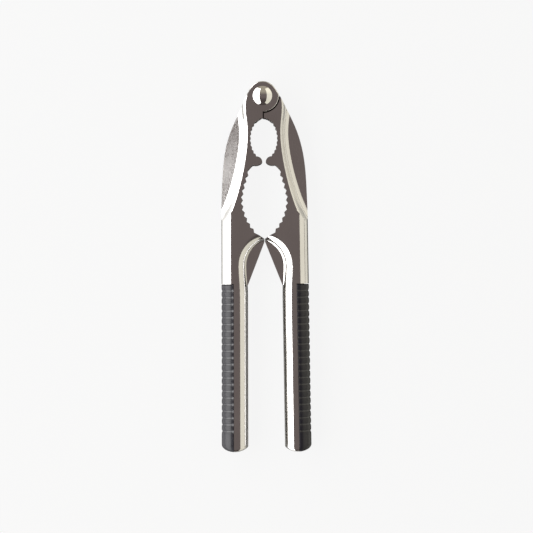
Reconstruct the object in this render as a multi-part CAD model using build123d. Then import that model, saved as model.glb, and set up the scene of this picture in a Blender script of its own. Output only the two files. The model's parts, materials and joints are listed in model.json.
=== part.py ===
from build123d import *
import os
from math import asin, cos, degrees, floor, radians, sin, sqrt, tan

# Two-arm nutcracker, lying on its back: +X to the right, +Y from the handles to the hinge,
# +Z out of the front face. The origin is the middle of the footprint, on the table.
# Every length is in millimetres. In the plan, "out" is the distance from the centre line
# and "down" is the distance from the hinge towards the handles.

# ---------------------------------------------------------------- whole object
overall_length = 185.5
thickness = 13.4
wing_half_span = 21.7
handle_end_half_span = 22.55

# ---------------------------------------------------------------- hinge
hinge_offset = 0.45
crown_radius = 7.25
flare_angle = 36.0
ear_radius = 8.2
ear_gap = 0.6
lap_clearance = 0.12
shank_radius = 2.5
hinge_running_clearance = 0.05
dome_radius = 4.8
dome_height = 2.3
dome_rim = 0.35
washer_radius = 4.0
washer_thickness = 1.0
washer_recess = 0.35
washer_clearance = 0.3
washer_float = 0.06
tail_radius = 3.3
tail_height = 0.3
ear_edge_round = 0.5

# ---------------------------------------------------------------- jaws
stop_half_gap = 0.15
throat_gap = 0.6
throat_end = 11.2
nest_centre = 21.4
nest_half_width = 6.85
nest_half_length = 10.4
nest_tooth_depth = 0.55
nest_teeth = 9
nest_first_valley = 42.0
nest_last_valley = 147.0
nose_down = 32.7
nose_half_gap = 0.9
nose_fall = 0.65
nose_reach = 1.35
brow_out = 4.3
brow_down = 34.9
walnut_entry = 51.5
walnut_tooth_depth = 1.0
walnut_teeth = 11
walnut_foot_out = 2.6
walnut_foot_down = 69.9
crotch_down = 71.6

# ---------------------------------------------------------------- wings
recess_depth = 3.0
recess_top = -4.0
recess_foot = 73.5
recess_lean = 12.0
wall_draft = 30.0
cove_radius = 3.6
lip_round = 1.6
jaw_end = 45.0

# ---------------------------------------------------------------- handles
wing_end = 64.9
handle_width = 13.3
outer_shoulder = 6.0
inner_shoulder = 5.8
arch_half_width = 9.2
arch_spring = 85.0
arch_apex = 72.8
neck_end = 100.0
end_crown = 2.3
end_round = 1.2
web_thickness = 5.0
web_apex = 73.1
web_foot_down = 94.8
web_root = 1.5

# ---------------------------------------------------------------- grips
grip_start = 94.4
grip_width = 6.2
rubber_wall = 2.2
grip_seam = 0.1
grip_top_gap = 0.25
rib_pitch = 3.35
groove_width = 1.0
groove_depth = 0.5
first_groove = 3.2
smooth_end = 5.0
rail_root = 2.0

# ---------------------------------------------------------------- derived places
hinge_y = overall_length / 2 - crown_radius
mid_z = thickness / 2
handle_end = overall_length - crown_radius
side_flat = 0.4
seam_flat = 0.2
outer_round = min(outer_shoulder, mid_z - side_flat, grip_width - seam_flat)
inner_round = min(inner_shoulder, mid_z - side_flat)
reach = 60.0
past = 1.0


def at(out, down):
    """A plan point of the right arm, measured from the hinge."""
    return (out, hinge_y - down)


def slab(face, low, high):
    """The plan face made solid between two heights."""
    return Pos(0, 0, low) * extrude(face, high - low)


def plan_box(left, right, top, bottom):
    """A plan rectangle from left to right (out) and from top to bottom (down)."""
    return Pos((left + right) / 2, hinge_y - (top + bottom) / 2) * Rectangle(right - left, bottom - top)


def hinge_disc(radius, hinge):
    """A plan disc centred on the hinge, which is this far out."""
    return Pos(hinge, hinge_y) * Circle(radius)


def to_back(shape):
    """The same shape on the other face of the arm."""
    return mirror(shape, about=Plane.XY.offset(mid_z))


# ---------------------------------------------------------------- plan curves of the right arm
def handle_outer(down, inset=0.0):
    """How far out the straight outer side of the handle is."""
    share = (down - wing_end) / (handle_end - wing_end)
    return wing_half_span + (handle_end_half_span - wing_half_span) * share - inset


def handle_inner(down):
    """How far out the straight inner side of the handle is."""
    return handle_outer(down) - handle_width


def outer_side(hinge):
    """Crown of the hinge end, flared flank of the wing and straight outer side of the handle."""
    short_of_top = degrees(asin((stop_half_gap - hinge) / crown_radius))
    crown = CenterArc(at(hinge, 0), crown_radius, flare_angle, 90 - short_of_top - flare_angle)
    flare = radians(flare_angle)
    flank = Spline(
        at(hinge + crown_radius * cos(flare), -crown_radius * sin(flare)),
        at(0.505 * wing_half_span, 5.4),
        at(0.76 * wing_half_span, 17.4),
        at(0.93 * wing_half_span, 32.4),
        at(0.98 * wing_half_span, 47.4),
        at(wing_half_span, wing_end),
        tangents=[(sin(flare), -cos(flare)), (handle_end_half_span - wing_half_span, wing_end - handle_end)],
    )
    corner = handle_end - end_crown
    side = Line(at(wing_half_span, wing_end), at(handle_outer(corner), corner))
    return [crown, flank, side]


def inner_side():
    """Straight inner side of the handle, the neck and the pointed arch up to the stop."""
    corner = handle_end - end_crown
    side = Line(at(handle_inner(corner), corner), at(handle_inner(neck_end), neck_end))
    slope = (handle_end_half_span - wing_half_span, wing_end - handle_end)
    neck = Spline(
        at(handle_inner(neck_end), neck_end),
        at(arch_half_width, arch_spring),
        tangents=[(-slope[0], -slope[1]), (0, 1)],
    )
    arch = TangentArc(at(arch_half_width, arch_spring), at(stop_half_gap, arch_apex), tangent=(0, 1))
    return [side, neck, arch]


def arm_face(hinge):
    """Plan of the arm before the jaws are cut: from the stop plane out to the flank."""
    corner = handle_end - end_crown
    middle = handle_end
    end = ThreePointArc(
        at(handle_outer(corner), corner),
        at((handle_outer(middle) + handle_inner(middle)) / 2, middle),
        at(handle_inner(corner), corner),
    )
    crown_top = -sqrt(crown_radius**2 - (stop_half_gap - hinge) ** 2)
    stop = Line(at(stop_half_gap, arch_apex), at(stop_half_gap, crown_top))
    return make_face(outer_side(hinge) + [end] + inner_side() + [stop])


def recess_wall(shift):
    """Plan line of the wall between the flat jaw plate and the sunk wing, moved out by a shift."""
    return Spline(
        at(6.9 + shift, recess_top),
        at(9.6 + shift, 4.5),
        at(8.9 + shift, 14.5),
        at(10.05 + shift, 32.3),
        at(13.4 + shift, 47.3),
        at(17.2 + shift, 58.3),
        at(21.5 + shift, 66.8),
        at(26.0 + shift, recess_foot),
    )


def flank_face(shift):
    """Plan area outside the recess wall."""
    wall = recess_wall(shift)
    top, bottom = wall @ 0, wall @ 1
    rim = Polyline((bottom.X, bottom.Y), (reach, bottom.Y), (reach, top.Y), (top.X, top.Y))
    return make_face([wall, rim])


# ---------------------------------------------------------------- jaw outlines
def nest_point(angle, outward):
    """A point of the small nest's ellipse, by its angle from the hinge side."""
    turn = radians(angle)
    return at((nest_half_width + outward) * sin(turn), nest_centre - (nest_half_length + outward) * cos(turn))


def small_nest():
    """Points of the small nest: a smooth start at the throat, then a row of pointed teeth."""
    step = (nest_last_valley - nest_first_valley) / (nest_teeth - 1)
    points = []
    for tooth in range(nest_teeth):
        valley = nest_first_valley + step * tooth
        points.append(nest_point(valley - step / 2, -nest_tooth_depth / 2))
        points.append(nest_point(valley, nest_tooth_depth / 2))
    points.append(nest_point(nest_last_valley + step / 2, -nest_tooth_depth / 2))
    return points


def walnut_nest():
    """Points of the large nest: pointed teeth cut square to a smooth egg-shaped line."""
    floor_line = Spline(at(8.4, 37.8), at(11.15, 47.0), at(11.85, 52.4), at(10.4, 60.0), at(5.3, 68.5))
    points = []
    for tooth in range(walnut_teeth):
        place = tooth / (walnut_teeth - 1)
        valley = floor_line @ place
        points.append((valley.X, valley.Y))
        if tooth < walnut_teeth - 1:
            place += 0.5 / (walnut_teeth - 1)
            inward = (floor_line % place).rotate(Axis.Z, -90)
            tip = floor_line @ place + inward * walnut_tooth_depth
            points.append((tip.X, tip.Y))
    return points


def jaw_face(throat_edge):
    """Plan area between the centre line and the inner profile of the jaw."""
    nest = small_nest()
    walnut = walnut_nest()
    throat_top = at(throat_edge, 0)
    throat_foot = at(throat_edge, throat_end)
    throat_round = ThreePointArc(
        throat_foot,
        nest_point(nest_first_valley / 2, -nest_tooth_depth / 2),
        nest[0],
    )
    nose_tip = at(nose_half_gap, nose_down)
    nose_top = Spline(nest[-1], at(nose_half_gap + nose_fall, nose_down - nose_reach), nose_tip)
    entry = radians(walnut_entry)
    nose_foot = Spline(
        nose_tip,
        at(nose_half_gap + nose_fall, nose_down + nose_reach),
        at(brow_out, brow_down),
        walnut[0],
        tangents=[nose_top % 1, (cos(entry), -sin(entry))],
    )
    crotch = Polyline(
        walnut[-1],
        at(walnut_foot_out, walnut_foot_down),
        at(stop_half_gap, crotch_down),
        at(-past, crotch_down),
        at(-past, 0),
    )
    return make_face(
        [
            Line(at(-past, 0), throat_top),
            Line(throat_top, throat_foot),
            throat_round,
            Polyline(*nest),
            nose_top,
            nose_foot,
            Polyline(*walnut),
            crotch,
        ]
    )


# ---------------------------------------------------------------- solids of the right arm
def edges_along(solid, curves, height):
    """The edges of a solid that lie on any of these plan curves at this height."""
    found = []
    for edge in solid.edges():
        middle = edge @ 0.5
        if abs(middle.Z - height) > 0.01:
            continue
        flat = Vector(middle.X, middle.Y, 0)
        if min(curve.distance_to(flat) for curve in curves) < 0.01:
            found.append(edge)
    return found


def end_edges(body, innermost):
    """The edges round the end face of the handle, outside an inner distance."""
    corner = hinge_y - handle_end + end_crown + 0.01
    edges = [edge for edge in body.edges() if edge.bounding_box().max.Y < corner]
    return [edge for edge in edges if (edge @ 0.5).X > innermost]


def blank(hinge):
    """The arm as a thick bar with large rounded shoulders on both sides of both faces."""
    body = slab(arm_face(hinge), 0, thickness)
    for height in (0, thickness):
        body = fillet(edges_along(body, outer_side(hinge), height), outer_round)
        body = fillet(edges_along(body, inner_side(), height), inner_round)
    return fillet(end_edges(body, 0), end_round)


def recess_tool():
    """What is missing over the wing: a drafted wall with a rounded lip and a wide cove at its foot."""
    floor_height = thickness - recess_depth
    shift = mid_z * tan(radians(wall_draft))
    deep = loft([Pos(0, 0, mid_z) * flank_face(shift), Pos(0, 0, thickness) * flank_face(0)], ruled=True)
    lean = Pos(arch_half_width, 0, floor_height) * Rot(0, recess_lean, 0)
    above = lean * Box(4 * reach, 8 * reach, 4 * reach, align=(Align.CENTER, Align.CENTER, Align.MIN))
    tool = (deep & above) + slab(plan_box(past, reach, recess_top, recess_foot), thickness, thickness + reach)
    lip = recess_wall(0)
    foot = recess_wall(recess_depth * tan(radians(wall_draft)))
    for line, low, high, size in (
        (foot, 0, thickness - recess_depth / 2, cove_radius),
        (lip, thickness - 0.01, thickness + 0.01, lip_round),
    ):
        edges = []
        for edge in tool.edges():
            middle = edge @ 0.5
            beside = line.distance_to(Vector(middle.X, middle.Y, 0)) < recess_depth
            if beside and low < middle.Z < high and abs((edge % 0.5).Z) < 0.5 and edge.length > reach:
                edges.append(edge)
        tool = fillet(edges, size)
    return tool


def jaw_plate(hinge, throat_edge):
    """Plan of the jaw end of the arm, down to where the handle's shoulders begin."""
    plate = arm_face(hinge) & plan_box(0, reach, -reach, jaw_end)
    tongue = plan_box(min(throat_edge, 0), throat_gap, 0, throat_end)
    return plate + tongue - jaw_face(throat_edge)


def ear_face(hinge):
    """Plan of the round ear that laps over the other arm, as wide as the crown of the closed pair."""
    window = plan_box(0, reach, -reach, ear_radius)
    half = arm_face(hinge) & window
    other = mirror(arm_face(-hinge) & window, about=Plane.YZ)
    middle = plan_box(-stop_half_gap, stop_half_gap, 0, ear_radius) + hinge_disc(crown_radius, hinge)
    return (half + other + middle) & hinge_disc(ear_radius, hinge)


def ear_half(hinge):
    """The back half of the jaw end, with the ear, whose outer edge is slightly rounded."""
    layer = slab(jaw_plate(hinge, hinge) + ear_face(hinge), 0, mid_z - lap_clearance / 2)
    rim = []
    for edge in layer.edges():
        middle = edge @ 0.5
        from_hinge = (Vector(middle.X, middle.Y) - Vector(hinge, hinge_y)).length
        if abs((edge @ 0).Z) < 0.01 and abs((edge @ 1).Z) < 0.01 and from_hinge < ear_radius + 0.1:
            rim.append(edge)
    return fillet(rim, ear_edge_round)


def shoulder_half(hinge):
    """The front half of the jaw end, hollowed round for the other arm's ear."""
    plate = jaw_plate(hinge, hinge + throat_gap) - hinge_disc(ear_radius + ear_gap, hinge)
    return slab(plate, mid_z - lap_clearance / 2, thickness)


def handle_end_of_arm(hinge):
    """The rest of the arm: the crotch, the arch and the handle, with their rounded shoulders."""
    below = slab(plan_box(0, reach, jaw_end, handle_end + reach), -past, thickness + past)
    return (blank(hinge) & below) - slab(jaw_face(hinge), -past, thickness + past)


def web():
    """The web that closes the arch beside the stop, with its straight edge to the other arm."""
    face = make_face(
        Polyline(
            at(stop_half_gap, crotch_down + web_root / 2),
            at(stop_half_gap, web_apex),
            at(handle_inner(neck_end), web_foot_down),
            at(arch_half_width + web_root, web_foot_down),
            at(arch_half_width + web_root, arch_spring),
            at(arch_half_width / 2 + web_root, arch_apex + web_root),
            at(stop_half_gap, crotch_down + web_root / 2),
        )
    )
    return slab(face, mid_z - web_thickness / 2, mid_z + web_thickness / 2)


def handle_strip(seam_shift, top, inset):
    """The outer strip of the handle as a solid, from the grip's seam outwards, drawn in by an inset."""
    seam = grip_width - seam_shift
    side = inset if inset > 0 else -reach
    strip = make_face(
        Polyline(
            at(handle_outer(top, seam), top),
            at(handle_outer(top, side), top),
            at(handle_outer(handle_end, side), handle_end),
            at(handle_outer(handle_end, seam), handle_end),
            at(handle_outer(top, seam), top),
        )
    )
    body = slab(strip & (Pos(0, inset) * arm_face(0)), inset, thickness - inset)
    for height in (inset, thickness - inset):
        level = [edge for edge in body.edges() if abs((edge @ 0).Z - height) + abs((edge @ 1).Z - height) < 0.02]
        outermost = max(level, key=lambda edge: (edge @ 0.5).X)
        body = fillet(outermost, outer_round - inset)
    if inset > 0:
        return body
    return fillet(end_edges(body, handle_outer(handle_end, seam) + 0.5), end_round)


def grip_pocket():
    """What the casting leaves out for the rubber: the outer strip around a rail."""
    top = grip_start - grip_top_gap
    seam_top = at(handle_outer(top, grip_width), top)
    seam_end = at(handle_outer(handle_end + end_crown, grip_width), handle_end + end_crown)
    area = make_face(Polyline(seam_top, (reach, seam_top[1]), (reach, seam_end[1]), seam_end, seam_top))
    rail = handle_strip(-rail_root, top - rail_root, rubber_wall + grip_seam)
    return slab(area, -past, thickness + past) - rail


def casting(hinge):
    """One arm before drilling, with its ear in the back half and its hinge this far out."""
    tool = recess_tool()
    body = ear_half(hinge) + shoulder_half(hinge) + handle_end_of_arm(hinge)
    body = body - tool - to_back(tool)
    return body + web() - grip_pocket()


def right_arm():
    """The arm with the back ear: it turns on the rivet, and its ear is sunk for the washer."""
    bore = slab(hinge_disc(shank_radius + hinge_running_clearance, -hinge_offset), -past, thickness + past)
    seat_depth = washer_recess + washer_thickness + washer_float
    seat = slab(hinge_disc(washer_radius + washer_clearance, -hinge_offset), -past, seat_depth)
    return casting(-hinge_offset) - bore - seat


def left_arm():
    """The other casting turned over, with the front ear: the rivet is tight in it."""
    bore = slab(hinge_disc(shank_radius, -hinge_offset), -past, thickness + past)
    turned = Pos(0, 0, thickness) * Rot(0, 180, 0) * casting(hinge_offset)
    return turned - bore


def right_grip():
    """Ribbed rubber insert that wraps round the rail of the handle."""
    grip = handle_strip(0, grip_start, 0) - handle_strip(-rail_root, grip_start - rail_root, rubber_wall)
    ribbed_length = handle_end - end_crown - smooth_end - grip_start - first_groove
    inner = handle_strip(-rail_root, grip_start - rail_root, groove_depth)
    for groove in range(floor(ribbed_length / rib_pitch) + 1):
        middle = grip_start + first_groove + groove * rib_pitch
        band = plan_box(0, reach, middle - groove_width / 2, middle + groove_width / 2)
        cut = slab(band, -past, thickness + past)
        grip = grip - (cut - inner)
    return grip


def hinge_rivet():
    """Polished dome-head rivet: dome in front, shank through both ears, tail spread at the back."""
    tail_foot = washer_recess - tail_height
    head_base = thickness + dome_rim
    profile = make_face(
        [
            Polyline(
                (0, tail_foot),
                (tail_radius - tail_height, tail_foot),
                (tail_radius, washer_recess),
                (shank_radius, washer_recess),
                (shank_radius, thickness),
                (dome_radius, thickness),
                (dome_radius, head_base),
            ),
            dome_line(head_base),
            Line((0, thickness + dome_height), (0, tail_foot)),
        ]
    )
    return Pos(-hinge_offset, hinge_y, 0) * revolve(Rot(90, 0, 0) * profile, Axis.Z)


def dome_line(base):
    """Half of the dome's outline, from its rim to its top."""
    rise = thickness + dome_height - base
    ball = (dome_radius**2 + rise**2) / (2 * rise)
    centre = base + rise - ball
    middle = dome_radius / 2
    return ThreePointArc((dome_radius, base), (middle, centre + sqrt(ball**2 - middle**2)), (0, base + rise))


def rivet_washer():
    """Steel washer under the spread tail, sunk in the back ear."""
    ring = hinge_disc(washer_radius, -hinge_offset) - hinge_disc(shank_radius, -hinge_offset)
    return slab(ring, washer_recess, washer_recess + washer_thickness)


grip = right_grip()
parts = {
    "left_arm": left_arm(),
    "right_arm": right_arm(),
    "left_grip": mirror(grip, about=Plane.YZ),
    "right_grip": grip,
    "hinge_rivet": hinge_rivet(),
    "rivet_washer": rivet_washer(),
}
os.makedirs("parts", exist_ok=True)
for name, solid in parts.items():
    solid.label = name
    export_step(solid, f"parts/{name}.step")
    print(name, round(solid.volume, 1), "mm3", "valid" if solid.is_valid else "NOT VALID")
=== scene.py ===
# %% [markdown]
# # A two-arm nutcracker with rubber grips
# The nutcracker is two zinc castings that cross at a rivet. Each one carries half of a small
# toothed nest and half of a large one, a sunk wing outside the jaws, and a handle with a
# ribbed rubber insert on its outer side. The castings, the rivet and its washer come from
# the CAD frame. This lesson gives them their finish and makes the rubber inserts anew.

# %% Load the frame
import json
import math

import bpy
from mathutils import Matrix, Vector


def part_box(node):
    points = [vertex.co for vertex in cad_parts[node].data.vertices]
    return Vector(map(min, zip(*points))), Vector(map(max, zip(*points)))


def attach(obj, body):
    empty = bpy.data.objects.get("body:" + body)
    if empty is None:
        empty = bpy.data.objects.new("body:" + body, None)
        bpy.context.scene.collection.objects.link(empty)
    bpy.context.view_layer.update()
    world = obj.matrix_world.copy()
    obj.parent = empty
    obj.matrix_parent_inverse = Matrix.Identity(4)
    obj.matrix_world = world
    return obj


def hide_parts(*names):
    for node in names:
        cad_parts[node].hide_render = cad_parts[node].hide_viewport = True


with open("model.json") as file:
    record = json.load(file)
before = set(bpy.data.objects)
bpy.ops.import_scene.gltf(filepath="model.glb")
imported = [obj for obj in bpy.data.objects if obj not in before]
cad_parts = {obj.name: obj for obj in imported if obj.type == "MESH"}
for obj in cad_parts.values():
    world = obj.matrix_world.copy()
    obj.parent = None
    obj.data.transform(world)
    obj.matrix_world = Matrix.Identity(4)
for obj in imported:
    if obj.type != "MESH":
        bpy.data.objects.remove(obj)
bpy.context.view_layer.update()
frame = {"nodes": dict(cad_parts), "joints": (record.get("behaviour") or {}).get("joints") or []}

MM = 0.001


print("nodes:", sorted(frame["nodes"]))

# %% [markdown]
# ## Where things are
# Everything is measured from the hinge, whose place is in the record. The boxes of the CAD
# pieces say how thick the castings are and where the rubber begins and ends.

# %% Measure the frame
hinge_y = frame["joints"][0]["pos_m"][1] / MM
arm_low, arm_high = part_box("right_arm")
grip_low, grip_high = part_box("right_grip")
thickness = arm_high.z / MM
handle_end = hinge_y - arm_low.y / MM
grip_start = hinge_y - grip_high.y / MM
print("hinge at y", round(hinge_y, 2), "mm, handle end", round(handle_end, 2), "mm below it")
print("rubber from", round(grip_start, 2), "mm, thickness", round(thickness, 2), "mm")

# %% [markdown]
# ## Tools for the finishes
# Every finish is a small tree of nodes. These helpers add a node, join two of them and mix
# two values, so that each material below reads as a short list of what the surface does.


# %% Node helpers
def new_material(name):
    """A node material with its tree and its principled shader, joined to the output."""
    material = bpy.data.materials.new(name)
    material.use_nodes = True
    tree = material.node_tree
    tree.nodes.clear()
    shader = tree.nodes.new("ShaderNodeBsdfPrincipled")
    output = tree.nodes.new("ShaderNodeOutputMaterial")
    tree.links.new(shader.outputs["BSDF"], output.inputs["Surface"])
    return material, tree, shader


def add(tree, kind, settings=None, **inputs):
    """A node of this kind, with its settings and with its inputs set or joined by name."""
    node = tree.nodes.new(kind)
    for key, value in (settings or {}).items():
        setattr(node, key, value)
    for key, value in inputs.items():
        socket = node.inputs[int(key[1:])] if key[0] == "_" else node.inputs[key.replace("_", " ")]
        if isinstance(value, bpy.types.NodeSocket):
            tree.links.new(value, socket)
        else:
            socket.default_value = value
    return node


def noise(tree, place, scale, detail=3.0, roughness=0.5):
    """The grey value of a noise at a place."""
    node = add(tree, "ShaderNodeTexNoise", None, Vector=place, Scale=scale, Detail=detail,
               Roughness=roughness)
    return node.outputs["Fac"]


def spread(tree, value, low, high, bottom=0.0, top=1.0):
    """A value stretched from low..high to bottom..top, and held there."""
    node = add(tree, "ShaderNodeMapRange", None, Value=value, From_Min=low, From_Max=high,
               To_Min=bottom, To_Max=top)
    return node.outputs["Result"]


def maths(tree, operation, first, second):
    """Two values put together by one operation."""
    return add(tree, "ShaderNodeMath", {"operation": operation}, _0=first, _1=second).outputs[0]


def colours(tree, share, first, second):
    """A colour between two others, by a share."""
    node = add(tree, "ShaderNodeMix", {"data_type": "RGBA"})
    for socket, value in zip((node.inputs[0], node.inputs[6], node.inputs[7]), (share, first, second)):
        if isinstance(value, bpy.types.NodeSocket):
            tree.links.new(value, socket)
        else:
            socket.default_value = (*value, 1.0) if len(value) == 3 else value
    return node.outputs[2]


def object_place(tree):
    """Where a point is on the object, in metres."""
    return tree.nodes.new("ShaderNodeTexCoord").outputs["Object"]


def stretched(tree, place, along, across, up):
    """A place with its three directions scaled on their own, for a grain that runs one way."""
    node = add(tree, "ShaderNodeMapping", {"vector_type": "POINT"}, Vector=place, Scale=(along, across, up))
    return node.outputs["Vector"]


print("helpers ready")

# %% [markdown]
# ## The cast metal
# The castings are nickel-plated zinc with a satin polish. Plating over a polished casting
# leaves a soft grain along the arm, cloudy patches where the mop pressed harder, tiny pits,
# and edges worn a little smoother. Painted shade darkens the hinge gap and tight hollows.


# %% The metal finishes
gap_reach = 0.0025
# The colour of the painted shade in the hinge gap and other tight hollows.
painted_gap_shade = (0.03, 0.026, 0.025)
plating_relief = 0.000006


def metal(name, light, dark, smooth, rough, grain):
    """Plated or polished metal: cloudy patches, a grain, pits, worn edges and painted shade in gaps."""
    material, tree, shader = new_material(name)
    place = object_place(tree)
    cloud = noise(tree, place, 55.0, 4.0)
    lengthways = noise(tree, stretched(tree, place, 2600.0, 160.0, 900.0), 1.0, 3.0, 0.6)
    speckle = noise(tree, place, 2400.0, 2.0, 0.6)
    mottle = maths(tree, "ADD", maths(tree, "MULTIPLY", cloud, 0.7), maths(tree, "MULTIPLY", lengthways, 0.3))
    shader.inputs["Metallic"].default_value = 1.0
    shine = colours(tree, spread(tree, mottle, 0.3, 0.7), dark, light)
    # Painted shade: ambient occlusion turns the base colour dark in the hinge gap and other tight hollows.
    shelter = add(tree, "ShaderNodeAmbientOcclusion", {"samples": 8}, Distance=gap_reach).outputs["AO"]
    unshaded_share = spread(tree, shelter, 0.25, 0.6)
    tree.links.new(colours(tree, unshaded_share, painted_gap_shade, shine), shader.inputs["Base Color"])
    pointed = add(tree, "ShaderNodeNewGeometry").outputs["Pointiness"]
    wear = spread(tree, pointed, 0.52, 0.62, 0.0, 0.05)
    haze = spread(tree, cloud, 0.3, 0.7, smooth, rough)
    haze = maths(tree, "ADD", haze, spread(tree, speckle, 0.35, 0.7, 0.0, 0.05))
    tree.links.new(maths(tree, "SUBTRACT", haze, wear), shader.inputs["Roughness"])
    pits = maths(tree, "MULTIPLY", speckle, 0.4)
    height = maths(tree, "ADD", maths(tree, "MULTIPLY", lengthways, 0.6), pits)
    bump = add(tree, "ShaderNodeBump", None, Height=height, Strength=grain, Distance=plating_relief)
    tree.links.new(bump.outputs["Normal"], shader.inputs["Normal"])
    return material


casting = metal("satin_nickel", (0.80, 0.79, 0.78), (0.73, 0.72, 0.705), 0.07, 0.11, 0.25)
polished = metal("polished_steel", (0.86, 0.85, 0.83), (0.80, 0.79, 0.77), 0.04, 0.07, 0.1)
washer_steel = metal("dull_steel", (0.62, 0.61, 0.60), (0.50, 0.49, 0.48), 0.25, 0.38, 0.5)
finishes = {"left_arm": casting, "right_arm": casting, "hinge_rivet": polished, "rivet_washer": washer_steel}
for node, finish in finishes.items():
    for slot in frame["nodes"][node].material_slots:
        slot.material = finish
print("metal on", list(finishes))

# %% [markdown]
# ## The rubber inserts
# Each insert is a moulded rubber channel that wraps the outer edge of the handle. Its ribs
# are wide, softly rounded rings with a narrow groove between them, and the last few
# millimetres are smooth. The section is walked along the handle in fine steps, and at every
# step the outer skin is drawn in by the depth of the groove there.

# %% Sizes of the insert, in millimetres
side_top = 21.92
side_end = 22.55
shoulder = 6.0
grip_width = 6.2
wall = 2.2
seam_round = 0.3
rib_pitch = 3.35
first_groove = 3.2
groove_half = 0.5
groove_depth = 0.4
crest_fall = 0.25
smooth_end = 5.0
end_crown = 2.3
handle_width = 13.3
end_round = 1.2


def arc(centre, radius, first, last, count):
    """Points of an arc in the section, from one angle to another, in degrees."""
    points = []
    for turn in range(count + 1):
        angle = math.radians(first + (last - first) * turn / count)
        points.append((centre[0] + radius * math.cos(angle), centre[1] + radius * math.sin(angle)))
    return points


def section():
    """Matching points of the outer and the inner skin, as distance in from the side and height."""
    low, high = shoulder, thickness - shoulder
    face = grip_width - seam_round
    outer = arc((face, thickness - seam_round), seam_round, 0, 90, 4)
    outer += arc((shoulder, high), shoulder, 90, 180, 20)
    outer += arc((shoulder, low), shoulder, 180, 270, 20)
    outer += arc((face, seam_round), seam_round, 270, 360, 4)
    inner = []
    for inward, height in outer:
        centre = Vector((shoulder, min(max(height, low), high)))
        if inward >= shoulder:
            reached = grip_width if inward > face else inward
            inner.append((reached, wall if height < low else thickness - wall))
        else:
            point = centre + (Vector((inward, height)) - centre) * ((shoulder - wall) / shoulder)
            inner.append((point.x, point.y))
    return outer, inner


outer_skin, inner_skin = section()
print("section of", len(outer_skin), "points on each skin")


# %% [markdown]
# The groove is a narrow round-bottomed cut, and the rib between two grooves is slightly
# crowned. The groove runs out just before the seam with the metal, where the mould has
# a plain lip.


# %% Depth of the skin along the handle
grooves = math.floor((handle_end - end_crown - smooth_end - grip_start - first_groove) / rib_pitch) + 1
last_groove = grip_start + first_groove + (grooves - 1) * rib_pitch


def drawn_in(down):
    """How far the outer skin lies inside its full size at a distance from the hinge."""
    if down > last_groove + rib_pitch / 2 or down < grip_start + first_groove - rib_pitch / 2:
        return 0.0
    nearest = round((down - grip_start - first_groove) / rib_pitch)
    away = abs(down - grip_start - first_groove - nearest * rib_pitch)
    cut = groove_depth * math.exp(-((away / (groove_half * 0.8)) ** 4))
    crown = crest_fall * (1.0 - math.sin(math.pi * min(away / (rib_pitch / 2), 1.0) / 2))
    return max(cut, crown)


def end_line(inward):
    """How far down the crowned end of the handle is, at a distance in from the side."""
    radius = ((handle_width / 2) ** 2 + end_crown**2) / (2 * end_crown)
    return handle_end - radius + math.sqrt(radius**2 - (handle_width / 2 - inward) ** 2)


def side(down):
    """How far out the side of the handle is."""
    share = (down - grip_start) / (handle_end - grip_start)
    return side_top + (side_end - side_top) * share


print(grooves, "grooves, the last one", round(last_groove, 2), "mm below the hinge")


# %% Build the inserts
def insert(name, node, body, sign):
    """One rubber insert as a closed mesh, on the right (sign 1) or on the left (sign -1)."""
    ribbed_end = handle_end - end_crown - end_round
    count = round((ribbed_end - grip_start) / (rib_pitch / 12))
    rows = [(grip_start + (ribbed_end - grip_start) * row / count, 0.0) for row in range(count + 1)]
    rows += [(ribbed_end, share / 8) for share in range(1, 9)]
    seam_fade = [min(1.0, max(0.0, (grip_width - inward) / 0.8)) for inward, height in outer_skin]
    vertices, faces = [], []
    for down, past in rows:
        ring = []
        for place, (inward, height) in enumerate(outer_skin):
            full = Vector((inward, height))
            core = Vector(inner_skin[place])
            depth = drawn_in(down) * seam_fade[place]
            top = max(0.0, seam_round - (down - grip_start))
            depth += seam_round - math.sqrt(max(0.0, seam_round**2 - top**2))
            depth += end_round * (1.0 - math.sqrt(max(0.0, 1.0 - past**2)))
            point = full + (core - full).normalized() * depth
            finish_line = end_line(point.x)
            ring.append((point, down + (finish_line - down) * past))
        for place in reversed(range(len(inner_skin))):
            point = Vector(inner_skin[place])
            ring.append((point, down + (end_line(point.x) - down) * past))
        for point, reached in ring:
            x = sign * (side(reached) - point.x)
            vertices.append((x * MM, (hinge_y - reached) * MM, point.y * MM))
    width = len(outer_skin) * 2
    for row in range(len(rows) - 1):
        for place in range(width):
            here = row * width + place
            across = row * width + (place + 1) % width
            faces.append((here, across, across + width, here + width)[::sign])
    skin = len(outer_skin)
    for row, turn in ((0, -sign), (len(rows) - 1, sign)):
        for place in range(skin - 1):
            start = row * width
            quad = (start + place, start + place + 1, start + width - 2 - place, start + width - 1 - place)
            faces.append(quad[::turn])
    mesh = bpy.data.meshes.new(name)
    mesh.from_pydata(vertices, [], faces)
    mesh.validate()
    mesh.polygons.foreach_set("use_smooth", [True] * len(mesh.polygons))
    piece = bpy.data.objects.new(name, mesh)
    bpy.context.collection.objects.link(piece)
    mesh.set_sharp_from_angle(angle=math.radians(50))
    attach(piece, body)
    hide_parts(node)
    return piece


inserts = [
    insert("left_insert", "left_grip", "left_lever", -1),
    insert("right_insert", "right_grip", "right_lever", 1),
]
print([(piece.name, len(piece.data.vertices)) for piece in inserts])


# %% [markdown]
# The rubber is a blue-black moulding: a dull skin with fine mould texture. Painted shade
# darkens the grooves, and the crests carry a painted highlight as stronger reflection.


# %% The rubber's finish
mould_relief = 0.00001


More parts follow.
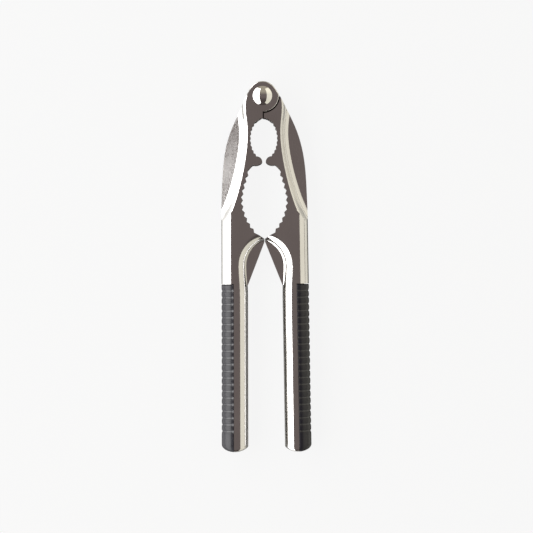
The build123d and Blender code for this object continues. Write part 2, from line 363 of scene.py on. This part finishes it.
def rubber(name, crest, groove):
    """Moulded rubber with a fine mould texture, painted shade in the grooves and a painted highlight on the
    crests.
    """
    material, tree, shader = new_material(name)
    place = object_place(tree)
    cloud = noise(tree, place, 120.0, 4.0)
    grit = noise(tree, place, 4200.0, 2.0, 0.7)
    pointed = add(tree, "ShaderNodeNewGeometry").outputs["Pointiness"]
    raised = spread(tree, pointed, 0.46, 0.54)
    patches = spread(tree, cloud, 0.3, 0.7, 0.7, 1.0)
    # Painted shade: the base colour darkens in the grooves, where the pointiness is low.
    shade = maths(tree, "MULTIPLY", patches, spread(tree, raised, 0.0, 1.0, 0.4, 1.0))
    tree.links.new(colours(tree, shade, groove, crest), shader.inputs["Base Color"])
    worn = spread(tree, cloud, 0.3, 0.7, 0.27, 0.33)
    dull = maths(tree, "ADD", worn, spread(tree, grit, 0.3, 0.7, 0.0, 0.06))
    tree.links.new(dull, shader.inputs["Roughness"])
    # Painted highlight: the crests reflect more strongly than the grooves.
    tree.links.new(spread(tree, raised, 0.0, 1.0, 0.25, 0.95), shader.inputs["Specular IOR Level"])
    bump = add(tree, "ShaderNodeBump", None, Height=grit, Strength=0.35, Distance=mould_relief)
    tree.links.new(bump.outputs["Normal"], shader.inputs["Normal"])
    return material


grip_rubber = rubber("moulded_rubber", (0.008, 0.0075, 0.014), (0.004, 0.004, 0.007))
for piece in inserts:
    piece.data.materials.append(grip_rubber)

# %% [markdown]
# ## The studio
# The tool lies on a pale table between a large white softbox on the left and a dimmer,
# warmer one on the right. Both stand low, so it stays dark overhead: the flat faces turn
# a deep brown-grey while every rounded shoulder catches a light. Beside the tool, the table
# acts as a white card on the left and a cream one on the right, which only reflections see.

# %% Table, lights and surroundings
bpy.context.scene.view_settings.view_transform = "Standard"
page_white = 0.945
table_glow = (0.895, 0.895, 0.895)
left_card = (1.1, 1.1, 1.09)
right_card = (0.50, 0.48, 0.40)
card_edge, card_full = 0.030, 0.036


def camera_only(tree):
    """One for what the camera sees straight away, and nothing for reflections and bounces."""
    return add(tree, "ShaderNodeLightPath").outputs["Is Camera Ray"]


def table():
    """The pale table top. It glows a little for the camera, which keeps the shadows faint."""
    reach = 4.0
    drop = -0.0002
    turns = ((-1, -1), (1, -1), (1, 1), (-1, 1))
    corner_places = [(along * reach, over * reach, drop) for along, over in turns]
    mesh = bpy.data.meshes.new("table")
    mesh.from_pydata(corner_places, [], [(0, 1, 2, 3)])
    top = bpy.data.objects.new("table", mesh)
    bpy.context.collection.objects.link(top)
    material, tree, shader = new_material("pale_table")
    place = object_place(tree)
    paper = colours(tree, noise(tree, place, 3.0), (0.29, 0.29, 0.285), (0.31, 0.31, 0.305))
    tree.links.new(colours(tree, camera_only(tree), paper, (0.03, 0.03, 0.03)), shader.inputs["Base Color"])
    across = add(tree, "ShaderNodeSeparateXYZ", None, Vector=place).outputs["X"]
    cards = colours(tree, spread(tree, across, card_edge, card_full), (0.0, 0.0, 0.0), right_card)
    cards = colours(tree, spread(tree, across, -card_full, -card_edge, 1.0, 0.0), cards, left_card)
    glow = colours(tree, camera_only(tree), cards, table_glow)
    tree.links.new(glow, shader.inputs["Emission Color"])
    shader.inputs["Emission Strength"].default_value = 1.0
    shader.inputs["Roughness"].default_value = 0.9
    shader.inputs["Specular IOR Level"].default_value = 0.1
    mesh.materials.append(material)


table()


def softbox(name, foot, head, width, radiance, colour):
    """A rectangular softbox whose foot and head are given as (x, z), facing the tool."""
    along = Vector((head[0] - foot[0], 0.0, head[1] - foot[1]))
    facing = Vector((along.z, 0.0, -along.x)) * (1.0 if foot[0] < 0 else -1.0)
    data = bpy.data.lights.new(name, "AREA")
    data.shape = "RECTANGLE"
    data.size = width
    data.size_y = along.length
    data.energy = radiance * math.pi * width * along.length
    data.color = colour
    lamp = bpy.data.objects.new(name, data)
    lamp.location = ((foot[0] + head[0]) / 2, 0.0, (foot[1] + head[1]) / 2)
    lamp.rotation_euler = facing.to_track_quat("-Z", "Y").to_euler()
    bpy.context.collection.objects.link(lamp)


softbox("left_softbox", (-1.25, 0.10), (-0.535, 1.035), 4.0, 3.8, (1.0, 1.0, 0.99))
softbox("right_softbox", (1.25, 0.10), (0.70, 0.95), 4.0, 0.75, (1.0, 0.98, 0.83))

world = bpy.data.worlds.new("studio")
bpy.context.scene.world = world
world.use_nodes = True
tree = world.node_tree
tree.nodes.clear()
direction = tree.nodes.new("ShaderNodeTexCoord").outputs["Generated"]
split = add(tree, "ShaderNodeSeparateXYZ", None, Vector=direction)
overhead = (0.160, 0.132, 0.126)
far_side = (0.40, 0.36, 0.29)
near_side = (0.075, 0.06, 0.058)
room = colours(tree, spread(tree, split.outputs["Y"], 0.15, 0.6), overhead, far_side)
room = colours(tree, spread(tree, split.outputs["Y"], -0.6, -0.2, 1.0, 0.0), room, near_side)
air = colours(tree, camera_only(tree), room, (page_white, page_white, page_white))
background = add(tree, "ShaderNodeBackground", None, Color=air, Strength=1.0)
output = tree.nodes.new("ShaderNodeOutputWorld")
tree.links.new(background.outputs[0], output.inputs["Surface"])

# %% [markdown]
# ## The camera
# The camera looks straight down from well above, so there is hardly any perspective. It is
# turned by half a degree, because the tool does not lie quite square to the picture.

# %% Camera straight above
field_of_view = 0.2665
distance = 1.5
camera_data = bpy.data.cameras.new("camera")
camera_data.sensor_width = 36.0
camera_data.lens = camera_data.sensor_width * distance / field_of_view
camera_data.clip_end = 20.0
camera = bpy.data.objects.new("camera", camera_data)
camera.location = (0.00075, 0.0, thickness * MM + distance)
camera.rotation_euler = (0.0, 0.0, math.radians(-0.53))
bpy.context.collection.objects.link(camera)
bpy.context.scene.camera = camera
print("lens", round(camera_data.lens, 1), "mm")
